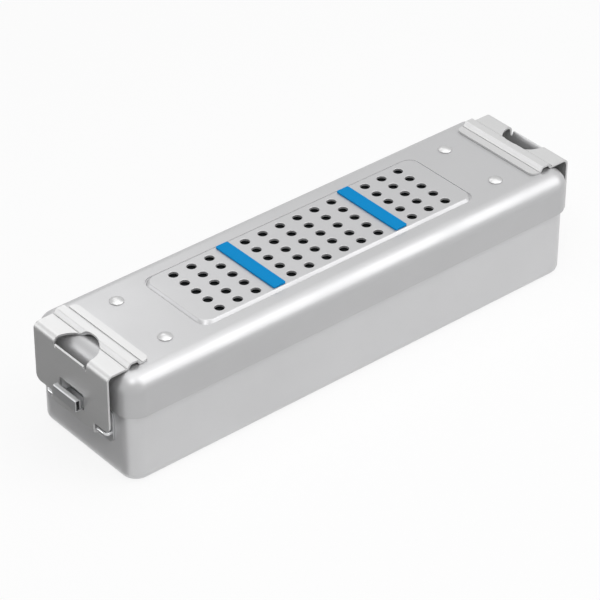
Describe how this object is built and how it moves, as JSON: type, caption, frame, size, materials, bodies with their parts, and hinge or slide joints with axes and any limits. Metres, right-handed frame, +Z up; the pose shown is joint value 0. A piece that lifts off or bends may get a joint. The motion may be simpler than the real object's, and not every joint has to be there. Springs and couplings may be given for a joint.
{
  "type": "sterilization container",
  "caption": "Closed sterilization container for surgical instruments: tub, gasketed lid with perforated panel, inner filter and cover, hinged latch with seal eye at each short end.",
  "frame": {"origin": "centre of the tub's underside, the surface it stands on", "axes": "+Z up; +X along the length, towards one latch; -Y towards the plain long front"},
  "size_m": [0.2728, 0.07, 0.0579],
  "materials": {
    "anodised_aluminium": "satin natural anodising",
    "latch_steel": "satin",
    "fittings_steel": "satin",
    "wire_steel": "drawn wire",
    "rivet_aluminium": "smooth",
    "blue_plastic": "smooth opaque blue",
    "silicone": "matte translucent grey",
    "filter_fleece": "matte charcoal"
  },
  "bodies": {
    "base": {"base_tub": "anodised_aluminium", "latch_bracket_right": "fittings_steel", "latch_bracket_left": "fittings_steel", "bracket_rivets_right": "rivet_aluminium", "bracket_rivets_left": "rivet_aluminium", "hinge_wire_right": "wire_steel", "hinge_wire_left": "wire_steel", "seal_eye_right": "fittings_steel", "seal_eye_left": "fittings_steel"},
    "lid": {"lid_shell": "anodised_aluminium", "lid_gasket": "silicone", "gasket_frame": "fittings_steel", "filter_sheet": "filter_fleece", "filter_clip_right": "fittings_steel", "filter_clip_left": "fittings_steel", "clip_rivets_right": "rivet_aluminium", "clip_rivets_left": "rivet_aluminium", "colour_strip_right": "blue_plastic", "colour_strip_left": "blue_plastic"},
    "filter_cover": {"filter_cover": "fittings_steel"},
    "latch_right": {"latch_plate_right": "latch_steel"},
    "latch_left": {"latch_plate_left": "latch_steel"}
  },
  "joints": [
    {"name": "lid_lift", "type": "slide", "parent": "base", "child": "lid", "axis": [0, 0, 1], "range_m": [0, 0.025]},
    {"name": "latch_right_swing", "type": "hinge", "parent": "base", "child": "latch_right", "pos_m": [0.1304, 0, 0.0226], "axis": [0, 1, 0], "range_deg": [0, 120]},
    {"name": "latch_left_swing", "type": "hinge", "parent": "base", "child": "latch_left", "pos_m": [-0.1304, 0, 0.0226], "axis": [0, -1, 0], "range_deg": [0, 120]},
    {"name": "filter_cover_slide", "type": "slide", "parent": "lid", "child": "filter_cover", "axis": [-1, 0, 0], "range_m": [0, 0.0033]}
  ],
  "couplings": [
    {"joint": "latch_right_swing", "follows": "lid_lift", "rad_per_m": 83.776},
    {"joint": "latch_left_swing", "follows": "lid_lift", "rad_per_m": 83.776}
  ]
}
